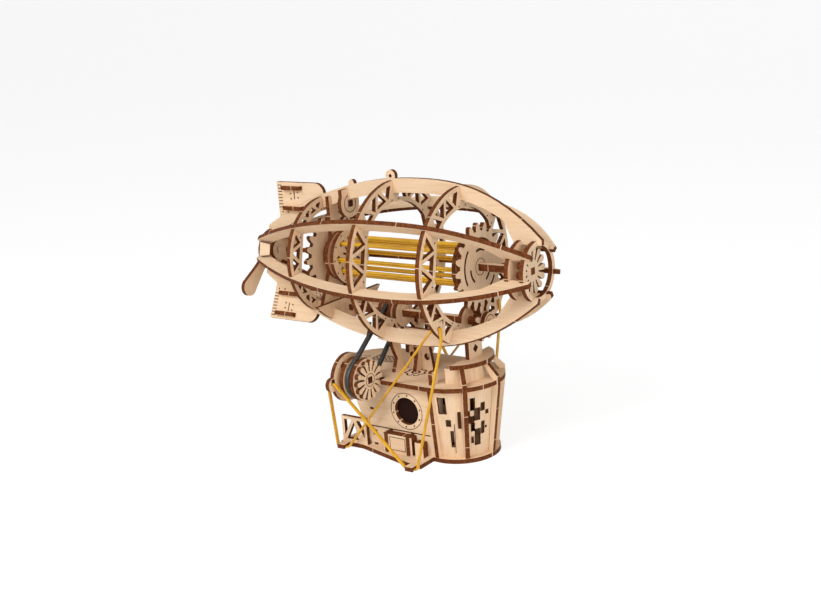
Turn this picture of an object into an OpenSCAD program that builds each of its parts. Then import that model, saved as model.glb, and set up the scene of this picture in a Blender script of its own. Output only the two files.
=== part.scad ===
// Plywood airship model with a rubber-band motor, a belt drive and a slung gondola.
// Millimetres. +X is the nose, +Y is port, +Z is up, and z = 0 is the underside of the gondola floor.

/* [Sheet and fits] */
// Thickness of the plywood sheet
ply = 2; // [1.8:0.1:2.2]
// Gap on each side of a slot, tenon or square hole
fit_gap = 0.05; // [0.02:0.01:0.08]
// Radial clearance of a turning bush in its bore
run_gap = 0.06; // [0.03:0.01:0.1]
// Gap beside a part that turns
side_gap = 0.4; // [0.3:0.1:0.8]

/* [Envelope ribs] */
// Height of the envelope's axis above the base
axis_h = 86; // [84:0.5:90]
// Largest radius over the ribs
env_r = 37.2; // [36.6:0.2:38.6]
// Station of the largest radius
env_mid_x = 10.5; // [9:0.5:12]
// Station of the ribs' tail ends
tail_x = -77; // [-79:0.5:-76]
// Radius over the ribs at the tail
tail_r = 12; // [11.8:0.2:13]
// Station of the ribs' nose ends
nose_x = 74; // [73.5:0.5:76]
// Radius over the ribs at the nose
nose_r = 13.5; // [13.3:0.1:14.5]
// Power of the fore half of the envelope's curve
fore_power = 2.65; // [2.4:0.05:2.8]
// Radial depth of a rib
rib_depth = 6.4; // [5.8:0.2:7]
// How far the ribs stand proud of the rings
rib_proud = 0.8; // [0.4:0.2:1.2]
// Bore radius of the hanging lug
lug_bore_r = 0.8; // [0.5:0.1:1.2]
// Outer radius of the hanging lug
lug_r = 2.6; // [2.2:0.2:3.4]

/* [Rings] */
// Front face of the aft ring
ring_aft_x = -41.5; // [-43:0.1:-41.5]
// Front face of the middle ring
ring_mid_x = 0; // [-0.4:0.1:0.6]
// Front face of the fore ring
ring_fore_x = 35.4; // [34.6:0.2:35.6]
// Radial width of the middle and fore rings at a rib
ring_w = 9.5; // [9:0.1:10]
// Radial width of the aft ring at a rib
aft_ring_w = 6.4; // [6:0.1:7]
// Width of the rails round the truss windows
rail_w = 1.9; // [1.5:0.1:2.1]
// Width of the truss struts
strut_w = 2; // [1.5:0.1:2.4]

/* [Nose and tail] */
// Front face of the rear nose plate
nose_plate_x = 64.4; // [63.5:0.1:65]
// Front face of the front nose ring
nose_ring_x = 71.6; // [71.2:0.2:72.6]
// Outer radius of the nose plates
nose_plate_r = 13; // [12.7:0.1:13.2]
// Inner radius of the ribs at the nose
nose_seat_r = 11.2; // [11:0.1:11.6]
// Bore of the front nose ring
nose_ring_bore = 10.8; // [10.4:0.1:11]
// Radius of the spoked nose wheel
nose_wheel_r = 10.2; // [9.6:0.1:10.6]
// Petals of the nose wheel
nose_petals = 14; // [10:1:16]
// Outer radius of the tail end plate
tail_end_r = 10.2; // [9.6:0.1:10.6]
// Inner radius of the ribs at the tail
tail_seat_r = 6.4; // [6:0.1:7]
// Length of a tail cheek
cheek_l = 6.4; // [5:0.2:7]
// Radius of the propeller
prop_r = 27; // [24:0.5:30]
// Largest width of a propeller blade
prop_w = 8.4; // [6:0.2:9]
// Angle of the propeller at rest
prop_angle = 221; // [0:1:360]

/* [Fins] */
// Rear edge of the fins
fin_rear_x = -69; // [-70:0.5:-67]
// Fore end of the fins
fin_fore_x = -40.5; // [-41.5:0.5:-39]
// Distance of a fin's tip from the axis
fin_top = 33.2; // [32.6:0.2:35]
// Length of a fin slat
slat_l = 11.5; // [9:0.5:12.5]
// Width of a fin slat
slat_w = 6; // [4:0.5:9]

/* [Shafts and gears] */
// Width of the square shafts
shaft_w = 3; // [2.6:0.1:3.2]
// Radius of the round bushes on the shafts
bush_r = 4; // [3.6:0.1:4.4]
// Module of the gears
gear_m = 1.75; // [1.7:0.05:1.8]
// Teeth of the front gear
gear_teeth = 20; // [20:1:21]
// Teeth of the pinion
pinion_teeth = 8; // [8:1:9]
// Teeth of the rear gear
rear_teeth = 20; // [18:1:21]
// Pressure angle of the teeth
pressure_a = 25; // [22:1:27]
// Play between the meshing teeth
backlash = 0.5; // [0.3:0.05:0.7]
// Front face of the front gear
front_gear_x = 42.7; // [42.2:0.1:44]
// Front face of the rear gear
rear_gear_x = -38.7; // [-38.9:0.1:-38.2]
// Front face of the upper bearing plate
upper_bearing_x = -26; // [-27:0.25:-25]
// Front face of the lower bearing plate
lower_bearing_x = -31; // [-32:0.25:-30]
// How far the layshaft's front end passes its collar
lay_end = 1.4; // [0.6:0.1:3]

/* [Motor bands] */
// Front face of the rear band disc
rear_disc_x = -28; // [-28.4:0.1:-27]
// Radius of the band discs
band_disc_r = 13; // [12.6:0.2:14]
// Radius at which the bands lie
band_ring_r = 8.4; // [8.2:0.1:8.8]
// Width of a band
band_w = 3.4; // [3:0.1:3.6]
// Thickness of a band
band_t = 1.6; // [1.2:0.1:1.8]
// Spacing of a band's two strands
band_pitch = 6; // [5.6:0.1:6.4]

/* [Belt drive] */
// Radius of the round belt
belt_r = 1; // [0.8:0.05:1.1]
// Radius of the belt's centre line on the upper pulley
upper_belt_r = 6; // [5.6:0.1:6.2]
// Radius of the belt's centre line on the lower pulley
lower_belt_r = 8.3; // [7.9:0.1:8.5]
// How far the pulley flanges stand above the belt's centre line
flange_rise = 1.2; // [1:0.1:1.4]
// Half the width of a pulley groove
groove_half = 1.75; // [1.7:0.05:1.9]
// Clearance between the belt and the groove's floor
belt_gap = 0.25; // [0.15:0.05:0.4]
// How far the lower pulley lies to starboard
pulley_y = 28; // [27.5:0.25:29]
// Rise of the lower pulley's axle above the roof
pulley_rise = 2; // [1.5:0.25:3]
// Petals of the wheel on the lower pulley's front
pulley_petals = 14; // [12:1:16]
// Gap between the lower pulley and its bracket, which a rigging band passes through
bracket_gap = 2.2; // [2:0.1:2.6]
// Radius of the bracket
bracket_r = 11; // [10.6:0.1:11.4]

/* [Gondola] */
// Drop from the envelope's axis to the underside of the gondola roof
roof_drop = 52; // [51.5:0.25:52.5]
// Half width of the roof
roof_half_w = 21.6; // [21.2:0.1:22]
// Centre of the roof's round stern
roof_aft_x = -17; // [-18:0.5:-16]
// Centre of the round front of the cabin
cabin_x = 26.4; // [25.8:0.2:27]
// Half width of the floor at the stern
floor_half_w = 19.4; // [19.2:0.1:20]
// Half width of the floor where it is widest
floor_wide = 27.8; // [27:0.2:28.4]
// Rear edge of the floor
floor_rear_x = -28; // [-29:0.5:-27.5]
// Distance of the side walls' middle from the centre line
wall_y = 16; // [15.8:0.1:16.2]
// Radius of the cabin wall at the floor
cabin_low_r = 15; // [14.6:0.1:15.4]
// Radius of the cabin wall under the roof
cabin_top_r = 19.2; // [18.8:0.1:19.4]
// Thickness of the bent veneer
veneer = 1.2; // [0.8:0.1:1.4]
// Radius of the porthole
porthole_r = 6.4; // [5.6:0.1:7]
// Station of the porthole
porthole_x = 9.8; // [8:0.2:11]
// Drop from the underside of the roof to the centre of the porthole
porthole_drop = 12.8; // [12:0.2:14]
// Front face of the stern plate
stern_x = -9; // [-9.6:0.1:-8]
// Rise of the canopy's underside above the roof
canopy_rise = 7; // [6.5:0.25:7.5]
// Radius of the canopy's outer edge
canopy_r = 17.4; // [17:0.1:18]
// Length of the crate
crate_l = 16; // [14:0.5:17]
// Height of the crate
crate_h = 8.6; // [7:0.2:9]
// Depth of the crate
crate_d = 4.6; // [4:0.1:4.8]

/* [Column and post] */
// Station of the column
column_x = 8.6; // [8:0.2:10]
// Half width of the column at the roof
column_half_w = 6; // [5:0.25:7]
// Half width of the front post
post_half_w = 5.2; // [4.6:0.2:6]

/* [Rigging] */
// Width of a rigging band
rig_w = 1.8; // [1.4:0.1:1.9]
// Thickness of a rigging band
rig_t = 0.9; // [0.7:0.05:0.95]
// Half length of a floor hook
hook_half = 2; // [1.6:0.1:2.4]
// Station of the rear floor hooks
hook_rear_x = -25; // [-25.4:0.2:-24]
// Station of the front floor hooks
hook_fore_x = 20; // [19.4:0.2:20.6]

/* [Hidden] */
// Heights that follow the envelope's axis
roof_z = axis_h - roof_drop;
roof_top = roof_z + ply;
porthole_z = roof_z - porthole_drop;
canopy_z = roof_top + canopy_rise;
pulley_z = roof_top + pulley_rise;
$fn = 64;
birch = "burlywood";
birch_dark = "peru";
rubber = "gold";

// Shape of the envelope: the radius over the ribs at a station
aft_len = (env_mid_x - tail_x) / sqrt(1 - tail_r / env_r);
fore_len = (nose_x - env_mid_x) / pow(1 - nose_r / env_r, 1 / fore_power);
function env(x) = x < env_mid_x
    ? env_r * (1 - pow((env_mid_x - x) / aft_len, 2))
    : env_r * (1 - pow((x - env_mid_x) / fore_len, fore_power));

// Seven ribs at an even pitch, the first on top; the others follow by way of starboard
rib_count = 7;
rib_pitch = 360 / rib_count;
function rib_angle(k) = 90 + k * rib_pitch;
rib_angles = [for (k = [0:rib_count - 1]) rib_angle(k)];
rib_steps = 30;
lug_rise = 1.2;
lug_x = ring_mid_x - ply / 2;
small_lug_x = -23.5;
small_lug_r = 1.6;

// A rib's inner edge steps inwards at the nose to reach the nose plates
nose_step_l = 5;
nose_step_x = nose_plate_x - ply - 1.5 - nose_step_l;
function rib_inner(x) = max(env(x) - rib_depth, tail_seat_r);

// Radius at which a rib's slot meets the slot of a ring or plate
function ring_rad(x) = env(x - ply / 2) - rib_proud;
function ring_lap(x) = env(x - ply / 2) - rib_depth / 2;
nose_lap = (nose_seat_r + nose_plate_r) / 2;
tail_end_x = tail_x + ply;
tail_end_lap = (tail_seat_r + tail_end_r) / 2;
rib_slots = [
    [tail_end_x, tail_end_lap], [ring_aft_x, ring_lap(ring_aft_x)], [ring_mid_x, ring_lap(ring_mid_x)],
    [ring_fore_x, ring_lap(ring_fore_x)], [nose_plate_x, nose_lap], [nose_ring_x, nose_lap]
];

// Gears: the layshaft hangs straight below the axis, one centre distance away
addendum = 0.8;
dedendum = 1.15;
gear_gap = gear_m * (gear_teeth + pinion_teeth) / 2;
lay_at = [0, -gear_gap];
lay_angle = -90;
upper_at = [0, gear_gap];
pinion_t = 2 * ply;
pinion_x = front_gear_x + (pinion_t - ply) / 2;
lay_collar_r = bush_r + 0.6;
lay_collar_x = pinion_x + ply + 0.2;
lay_fore_x = lay_collar_x + lay_end;
lay_aft_x = lower_bearing_x - ply - 1;
bore_r = bush_r + run_gap;
lobe_w = 2.4;
sq_hole = shaft_w + 2 * fit_gap;

// Motor: stations of the pieces along the axis
wheel_x = nose_ring_x - ply - 2.5 * side_gap;
nose_collar_r = 5.2;
nose_collar_x = nose_plate_x - ply - side_gap;
front_disc_x = front_gear_x - ply - band_t - 0.4;
front_shaft_aft = front_disc_x - ply - 0.6;
plain_disc_x = rear_disc_x - ply - band_t - 1;
plain_disc_r = 11.5;
rear_frame_x = rear_gear_x + ply + 0.5;
rear_shaft_fore = rear_disc_x + 0.6;
rear_shaft_aft = rear_gear_x - ply - 0.6;

// Propeller: it turns on a short axle of its own in the tail end plate
prop_x = tail_x - 2 * side_gap;
prop_collar_r = 3.6;
tail_collar_r = 4.6;
tail_collar_x = tail_end_x + side_gap + ply;
axle_fore_x = tail_collar_x + 0.4;
axle_aft_x = prop_x - 2 * ply - 0.4;

// Belt: it runs just behind the middle ring, through a gap in a bottom rib
belt_x = ring_mid_x - 2 * ply - side_gap - groove_half;
belt_gap_fore = ring_mid_x - ply - 1.2;
belt_gap_aft = belt_x - belt_r - 2.6;
// The two tangent points on each pulley, as angles in the belt's plane
upper_c = [belt_x, lay_at[0], axis_h + lay_at[1]];
lower_c = [belt_x, -pulley_y, pulley_z];
belt_rise = upper_c[2] - lower_c[2];
belt_run = upper_c[1] - lower_c[1];
belt_span = sqrt(belt_rise * belt_rise + belt_run * belt_run);
belt_angle = atan2(belt_rise, belt_run);
belt_tangent = acos((lower_belt_r - upper_belt_r) / belt_span);
belt_arc_steps = 14;
belt_sides = 8;
upper_flange_r = upper_belt_r + flange_rise;
lower_flange_r = lower_belt_r + flange_rise;
petal_x = groove_half + 2 * ply;
bracket_x = -groove_half - ply - bracket_gap;
bracket_ear = 11.4;

// Gondola heights and the cabin's round front
wall_h = roof_z - ply;
wall_out = wall_y + ply / 2;
wall_fore_x = cabin_x - ply - fit_gap;
rib_seat = 0.1;
cabin_rib_angles = [-47, 0, 47];
cabin_rib_out = [cabin_low_r + 2.4, cabin_top_r + 3];
floor_front_r = cabin_rib_out[0] + 0.4;
canopy_cut = 7.6;
collar_r = 14.6;

// Rigging: where the loop of a side band turns, as station, distance from the centre line and height
rig_slack = 0.05;
rig_pass = rig_slack + rig_t / 2;
rim_z = axis_h - 22.4;
rim_y = 23.4;
rim_low = axis_h - sqrt(pow(ring_rad(ring_fore_x), 2) - pow(rim_y - rig_w, 2)) - 0.6;
hook_reach = 4.4;
hook_in = 2.2;
hook_rear_y = floor_half_w + hook_in;
hook_fore_y = floor_wide + hook_in;
hook_relief = rig_t + 2 * rig_slack + 0.1;
hook_bow = 1.2;
rig_low = rig_pass + 0.1;
ear_y = pulley_y + bracket_ear;
ear_z = pulley_z - 0.4;
back_x = belt_x + bracket_x - ply;
rig_route = [
    [ring_fore_x - ply - 0.8, rim_y, rim_z + rig_pass],
    [hook_rear_x + hook_half + hook_bow, hook_rear_y, rig_low],
    [hook_rear_x - hook_half - hook_bow, hook_rear_y, rig_low],
    [back_x - 0.9, ear_y, ear_z + rig_pass],
    [back_x + ply + 0.9, ear_y, ear_z + rig_pass],
    [hook_fore_x - hook_half - hook_bow, hook_fore_y, rig_low],
    [hook_fore_x + hook_half + hook_bow, hook_fore_y, rig_low],
    [ring_fore_x + 0.8, rim_y, rim_low],
    [ring_fore_x + 0.8, rim_y, rim_z + rig_pass]
];

function pol(r, a) = [r * cos(a), r * sin(a)];

// A plate square to the X axis: front face at x, drawn in Y and Z from a point beside the envelope's axis
module cross_plate(x, t = ply, at = [0, 0]) {
    translate([x - t, at[0], axis_h + at[1]]) rotate([90, 0, 90]) linear_extrude(t) children();
}

// A plate square to the X axis, drawn in Y and Z from the base
module base_plate(x, t = ply) {
    translate([x - t, 0, 0]) rotate([90, 0, 90]) linear_extrude(t) children();
}

// A plate square to the Y axis, centred on y, drawn in X and Z
module side_plate(y, t = ply) {
    translate([0, y + t / 2, 0]) rotate([90, 0, 0]) linear_extrude(t) children();
}

// A flat plate lying at height z
module flat_plate(z, t = ply) {
    translate([0, 0, z]) linear_extrude(t) children();
}

// A plate square to the lower pulley's axle, at a distance along it from the belt
module pulley_plate(x, t = ply) {
    translate([belt_x + x - t, -pulley_y, pulley_z]) rotate([90, 0, 90]) linear_extrude(t) children();
}

// A round disc with the shaft's square hole
module disc2d(r) {
    difference() {
        circle(r);
        square(sq_hole, center = true);
    }
}

// A daisy: narrow petals with round ends, open at the rim
petal_gap = 1.3;
module daisy2d(count, r) {
    half_out = (PI * r / count - petal_gap / 2) * 0.85;
    difference() {
        union() {
            circle(r * 0.45);
            for (k = [0:count - 1]) rotate(360 * k / count) {
                polygon([[shaft_w, -0.5], [r - half_out, -half_out],
                    [r - half_out, half_out], [shaft_w, 0.5]]);
                translate([r - half_out, 0]) circle(half_out, $fn = 24);
            }
        }
        square(sq_hole, center = true);
    }
}

// Involute teeth, with the first tooth centred on the phase angle
function inv(a) = tan(a) * 180 / PI - a;
function tooth_half(r, rp, rb, n) =
    90 / n - backlash / 4 / rp * 180 / PI + inv(acos(rb / rp)) - inv(acos(min(1, rb / max(r, rb))));
module gear2d(n, phase) {
    rp = gear_m * n / 2;
    rb = rp * cos(pressure_a);
    ra = rp + addendum * gear_m;
    rd = rp - dedendum * gear_m;
    low = max(rb, rd);
    steps = 4;
    flank = concat([rd], [for (i = [0:steps]) low + (ra - low) * i / steps]);
    difference() {
        polygon([for (k = [0:n - 1], i = [0:2 * steps + 3])
            let (c = phase + 360 * k / n, up = i < steps + 2, r = flank[up ? i : 2 * steps + 3 - i])
            pol(r, c + (up ? -1 : 1) * tooth_half(r, rp, rb, n))]);
        square(sq_hole, center = true);
    }
}

// An arc-shaped slit
module arc_slit(r, w, a0, a1) {
    intersection() {
        difference() {
            circle(r + w / 2);
            circle(r - w / 2);
        }
        polygon([[0, 0], pol(2 * r, a0), pol(2 * r, (a0 + a1) / 2), pol(2 * r, a1)]);
    }
}

// Ribs

module rib2d(x0, x1) {
    to_step = min(x1, nose_step_x);
    inner = concat(
        [for (i = [0:rib_steps]) let (x = x0 + (to_step - x0) * i / rib_steps) [x, rib_inner(x)]],
        x1 > nose_step_x ? [[nose_step_x + nose_step_l, nose_seat_r], [x1, nose_seat_r]] : []
    );
    difference() {
        polygon(concat(inner,
            [for (i = [0:rib_steps]) let (x = x1 - (x1 - x0) * i / rib_steps) [x, env(x)]]));
        for (s = rib_slots) rib_notch(s[0], s[1]);
    }
}

// Slot from a rib's inner edge out to radius lap, for a plate whose front face is at x
module rib_notch(x, lap) {
    translate([x - ply - fit_gap, 0]) square([ply + 2 * fit_gap, lap + fit_gap]);
}

module rib_plate(angle) {
    translate([0, 0, axis_h]) rotate([angle - 90, 0, 0]) side_plate(0) children();
}

// Space for a slat where a fin stands on a rib
slat_x = fin_rear_x + 4;
slat_low = env(slat_x + slat_l / 2) - ply / 2;
slat_high = fin_top - 1.4 - ply;
module slat_holes() {
    for (r = [slat_low, slat_high]) translate([slat_x - fit_gap, r - fit_gap])
        square([slat_l + 2 * fit_gap, ply + 2 * fit_gap]);
}

// The ribs that carry fins also carry the rear frame
rear_lap = rib_inner(rear_frame_x - ply / 2) + 2.2;
module fin_rib2d(x0, x1) {
    difference() {
        rib2d(x0, x1);
        slat_holes();
        rib_notch(rear_frame_x, rear_lap);
    }
}

function bearing_lap(x) = env(x - ply / 2) - rib_depth / 2;
module rib_top() color(birch) rib_plate(rib_angle(0)) difference() {
    union() {
        fin_rib2d(tail_x, nose_x);
        translate([lug_x, env(lug_x) + lug_rise]) circle(lug_r);
        translate([small_lug_x, env(small_lug_x) + lug_rise / 2]) circle(small_lug_r);
    }
    translate([lug_x, env(lug_x) + lug_rise]) circle(lug_bore_r);
    rib_notch(upper_bearing_x, bearing_lap(upper_bearing_x));
}
module rib_starboard_upper() color(birch) rib_plate(rib_angle(1)) rib2d(tail_x, nose_x);
module rib_starboard_lower() color(birch) rib_plate(rib_angle(2)) rib2d(tail_x, nose_x);
// The starboard bottom rib is in two lengths, with the belt's gap between them
module rib_bottom_fore() color(birch) rib_plate(rib_angle(3)) rib2d(belt_gap_fore, nose_x);
module rib_bottom_aft() color(birch) rib_plate(rib_angle(3)) difference() {
    fin_rib2d(tail_x, belt_gap_aft);
    rib_notch(lower_bearing_x, bearing_lap(lower_bearing_x));
}
module rib_bottom_port() color(birch) rib_plate(rib_angle(4)) difference() {
    fin_rib2d(tail_x, nose_x);
    rib_notch(lower_bearing_x, bearing_lap(lower_bearing_x));
}
module rib_port_lower() color(birch) rib_plate(rib_angle(5)) rib2d(tail_x, nose_x);
module rib_port_upper() color(birch) rib_plate(rib_angle(6)) rib2d(tail_x, nose_x);

// Rings and end plates

// Slots that the ribs drop into, from radius lap outwards
module rib_cuts(lap, reach, angles = rib_angles) {
    for (a = angles) rotate(a) translate([lap - fit_gap, -ply / 2 - fit_gap])
        square([reach, ply + 2 * fit_gap]);
}

// Triangular windows of a trussed bay, alternately based on the outer and the inner rail
function bay_in(a, r_in, edge) = edge > 0 ? edge / cos(a) : r_in;
module truss_windows(half_bay, r_in, edge, r_out, count) {
    step = 2 * half_bay / count;
    half = step - strut_w / r_out * 180 / PI;
    for (k = [0:count - 1]) {
        c = (k + 0.5) * step - half_bay;
        lo = max(-half_bay, c - half);
        hi = min(half_bay, c + half);
        polygon(k % 2 == 0
            ? [pol(r_out, lo), pol(r_out, c), pol(r_out, hi), pol(bay_in(c, r_in, edge), c)]
            : [pol(bay_in(lo, r_in, edge), lo), pol(r_out, c), pol(bay_in(hi, r_in, edge), hi)]);
    }
}

// A ring between seven ribs: the side bays have a straight inner edge from rib to rib
side_bays = [1, 5];
module ring2d(x, width, bay_windows) {
    r = ring_rad(x);
    r_hole = r - width;
    edge = r_hole * cos(rib_pitch / 2);
    half_bay = rib_pitch / 2 - (ply / 2 + rail_w) / r * 180 / PI;
    difference() {
        circle(r, $fn = 96);
        difference() {
            circle(r_hole, $fn = 96);
            for (k = side_bays) rotate(rib_angle(k + 0.5)) translate([edge, -r]) square([r, 2 * r]);
        }
        for (k = [0:rib_count - 1]) rotate(rib_angle(k + 0.5))
            if (k == side_bays[0] || k == side_bays[1])
                truss_windows(half_bay, 0, edge + rail_w, r - rail_w, 3);
            else
                truss_windows(half_bay, r_hole + rail_w, 0, r - rail_w, bay_windows);
        rib_cuts(ring_lap(x), width);
    }
}

// A ring that carries the layshaft in a lobe beside its lower rail
module bearing_ring2d(x) {
    difference() {
        union() {
            ring2d(x, ring_w, 4);
            translate(lay_at) circle(bore_r + lobe_w);
        }
        translate(lay_at) circle(bore_r);
    }
}

module ring_aft() color(birch) cross_plate(ring_aft_x) ring2d(ring_aft_x, aft_ring_w, 4);

// The middle ring stands on the gondola's roof with two legs
leg_top = ring_rad(ring_mid_x) - rail_w;
leg_foot = axis_h - roof_top;
module ring_mid() color(birch) cross_plate(ring_mid_x) {
    bearing_ring2d(ring_mid_x);
    for (m = [0, 1]) mirror([m, 0]) intersection() {
        polygon([[-5.4, -leg_top * 0.9], [-11.6, -leg_top * 0.9], [-10.2, -leg_top - 4],
            [-7.5, -leg_foot + 6], [-10.2, -leg_foot], [-3.4, -leg_foot], [-4.3, -leg_foot + 9]]);
        difference() {
            circle(2 * leg_foot);
            circle(leg_top);
        }
    }
}

rim_boss = 4.4;
rim_hole_h = rig_t + 2 * rig_slack + 0.2;
module ring_fore() color(birch) cross_plate(ring_fore_x) difference() {
    union() {
        bearing_ring2d(ring_fore_x);
        for (s = [-1, 1]) intersection() {
            circle(ring_rad(ring_fore_x), $fn = 96);
            translate([s * rim_y, rim_z - axis_h])
                square([rig_w + rim_boss, 2 * rig_t + rim_boss], center = true);
        }
    }
    for (s = [-1, 1]) translate([s * rim_y, rim_z - axis_h + rim_hole_h / 2])
        square([rig_w + 0.4, rim_hole_h], center = true);
}

module nose_plate() color(birch) cross_plate(nose_plate_x) difference() {
    circle(nose_plate_r);
    circle(bore_r);
    rib_cuts(nose_lap, nose_plate_r);
}
module nose_ring() color(birch) cross_plate(nose_ring_x) difference() {
    circle(nose_plate_r);
    circle(nose_ring_bore);
    rib_cuts(nose_lap, nose_plate_r);
}
module tail_end_plate() color(birch) cross_plate(tail_end_x) difference() {
    circle(tail_end_r);
    circle(bore_r);
    rib_cuts(tail_end_lap, tail_end_r);
}

// Two trapezoid cheeks that close the tail between the upper and the lower side ribs
cheek_r = rib_inner(tail_end_x) + 2.6;
cheek_taper = 0.75;
module tail_cheeks() color(birch_dark) for (k = side_bays)
    translate([0, 0, axis_h]) rotate([rib_angle(k + 0.5) - 90, 0, 0])
        translate([0, 0, cheek_r]) linear_extrude(ply) {
        x0 = tail_end_x + fit_gap;
        // half the width between the two ribs' flanks at the cheek's inner face
        half = cheek_r * tan(rib_pitch / 2) - ply / 2 / cos(rib_pitch / 2) - fit_gap;
        polygon([[x0, -half], [x0 + cheek_l, -half * cheek_taper],
            [x0 + cheek_l, half * cheek_taper], [x0, half]]);
    }

// Fins, on the top rib and on the two bottom ribs

fin_ribs = [0, 3, 4];
fin_steps = 10;
fin_round = 5;
module fin2d() {
    difference() {
        union() {
            polygon(concat(
                [for (i = [0:fin_steps]) let (x = fin_rear_x + (fin_fore_x - fin_rear_x) * i / fin_steps)
                    [x, env(x) + fit_gap]],
                [[fin_fore_x - fin_round, fin_top - fin_round / 2], [fin_fore_x - fin_round, fin_top],
                    [fin_rear_x, fin_top]]
            ));
            intersection() {
                translate([fin_fore_x - fin_round, fin_top - fin_round]) circle(fin_round);
                polygon([for (p = [[-1, 0], [1, 0], [1, 2], [-1, 2]])
                    [fin_fore_x + (p[0] - 1) * fin_round, env(fin_fore_x) + fit_gap + p[1] * fin_round]]);
            }
        }
        slat_holes();
    }
}
module tail_fins() color(birch) for (k = fin_ribs) rib_plate(rib_angle(k)) fin2d();
module fin_slats() color(birch_dark) for (k = fin_ribs, r = [slat_low, slat_high])
    translate([0, 0, axis_h]) rotate([rib_angle(k) - 90, 0, 0])
        translate([slat_x, -slat_w / 2, r]) cube([slat_l, slat_w, ply]);

// Bearing plates for the layshaft and for the peg above it

plate_half = 5.4;
module bearing_plate_upper() color(birch) cross_plate(upper_bearing_x) difference() {
    union() {
        translate(upper_at) circle(bore_r + lobe_w);
        translate([-plate_half, gear_gap])
            square([2 * plate_half, bearing_lap(upper_bearing_x) + 2 - gear_gap]);
    }
    translate(upper_at) circle(bore_r);
    rib_cuts(bearing_lap(upper_bearing_x), rib_depth, [rib_angle(0)]);
}
// The lower one is a bar between the two bottom ribs
bar_end = bearing_lap(lower_bearing_x) + 2;
module bearing_plate_lower() color(birch) cross_plate(lower_bearing_x) difference() {
    union() {
        translate(lay_at) circle(bore_r + lobe_w);
        intersection() {
            circle(bar_end, $fn = 96);
            translate([-bar_end, -bar_end]) square([2 * bar_end, bar_end * (1 - cos(50))]);
        }
    }
    translate(lay_at) circle(bore_r);
    rib_cuts(bearing_lap(lower_bearing_x), rib_depth, [rib_angle(3), rib_angle(4)]);
}

// Three-armed frame between the rear gear and the plain disc, lapped into the ribs that carry fins
rear_frame_arm = 5.6;
rear_frame_hub = 8;
rear_frame_r = rear_lap + 2;
module rear_frame() color(birch) cross_plate(rear_frame_x) difference() {
    union() {
        circle(rear_frame_hub);
        for (k = fin_ribs) rotate(rib_angle(k)) translate([0, -rear_frame_arm / 2])
            square([rear_frame_r, rear_frame_arm]);
    }
    circle(bore_r);
    for (k = fin_ribs) rib_cuts(rear_lap, rear_frame_r, [rib_angle(k)]);
}
peg_l = ply + 0.4;
module upper_peg() color(birch_dark) {
    cross_plate(upper_bearing_x, ply, upper_at) circle(bush_r);
    cross_plate(upper_bearing_x + 0.4, peg_l, upper_at) square(shaft_w, center = true);
}

// Motor: two short shafts that the rubber bands join

module main_shaft() color(birch_dark) {
    cross_plate(wheel_x, wheel_x - front_shaft_aft) square(shaft_w, center = true);
    cross_plate(rear_shaft_fore, rear_shaft_fore - rear_shaft_aft) square(shaft_w, center = true);
}
module shaft_bushes() color(birch) {
    for (x = [rear_frame_x, nose_plate_x]) cross_plate(x) disc2d(bush_r);
    cross_plate(nose_collar_x) disc2d(nose_collar_r);
}
module rear_gear() color(birch_dark) cross_plate(rear_gear_x) gear2d(rear_teeth, 90);
module plain_disc() color(birch) cross_plate(plain_disc_x) disc2d(plain_disc_r);

// The places where the strands of the bands pass a disc
band_turn = 20;
module strand_places(grow = 0) {
    for (a = [0:90:270], t = [-1, 1]) rotate(a + band_turn) translate([band_ring_r, t * band_pitch / 2])
        square([band_t + 2 * grow, band_w + 2 * grow], center = true);
}
module band_disc(x) {
    cross_plate(x) difference() {
        disc2d(band_disc_r);
        strand_places(2 * fit_gap);
    }
}
module rear_band_disc() color(birch) band_disc(rear_disc_x);
module front_band_disc() color(birch) band_disc(front_disc_x);
band_aft_x = rear_disc_x - ply - fit_gap;
band_fore_x = front_disc_x + fit_gap;
module motor_bands() color(rubber) {
    cross_plate(band_fore_x + band_t, band_fore_x - band_aft_x + 2 * band_t) strand_places();
    for (x = [band_fore_x + band_t, band_aft_x]) cross_plate(x, band_t)
        for (a = [0:90:270]) rotate(a + band_turn) translate([band_ring_r, 0])
            square([band_t, band_pitch + band_w], center = true);
}

slit_r = 12;
slit_w = 0.7;
slit_step = 4.5;
module front_gear() color(birch) cross_plate(front_gear_x) difference() {
    gear2d(gear_teeth, lay_angle);
    for (a = [15:120:255]) arc_slit(slit_r, slit_w, a, a + 75);
    for (a = [60:120:300]) arc_slit(slit_r - slit_step, slit_w, a, a + 50);
}
module nose_wheel() color(birch) cross_plate(wheel_x) daisy2d(nose_petals, nose_wheel_r);

// Propeller and its axle

module prop_axle() color(birch_dark) {
    cross_plate(axle_fore_x, axle_fore_x - axle_aft_x) square(shaft_w, center = true);
    for (p = [[tail_end_x, bush_r], [tail_collar_x, tail_collar_r], [prop_x - ply, prop_collar_r]])
        cross_plate(p[0]) difference() {
            circle(p[1]);
            square(shaft_w - 0.2, center = true);
        }
}
// Paddle blades: narrow at the hub, widest near the round tip
module propeller() color(birch) cross_plate(prop_x) difference() {
    union() {
        circle(prop_collar_r + 0.6);
        for (a = [0, 180]) rotate(prop_angle + a) {
            tip = prop_r - prop_w / 2;
            polygon([[0, -prop_w * 0.2], [prop_r * 0.45, -prop_w * 0.3], [tip, -prop_w / 2],
                [tip, prop_w / 2], [prop_r * 0.45, prop_w * 0.3], [0, prop_w * 0.2]]);
            translate([tip, 0]) circle(prop_w / 2);
        }
    }
    square(sq_hole, center = true);
}

// Layshaft

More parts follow.
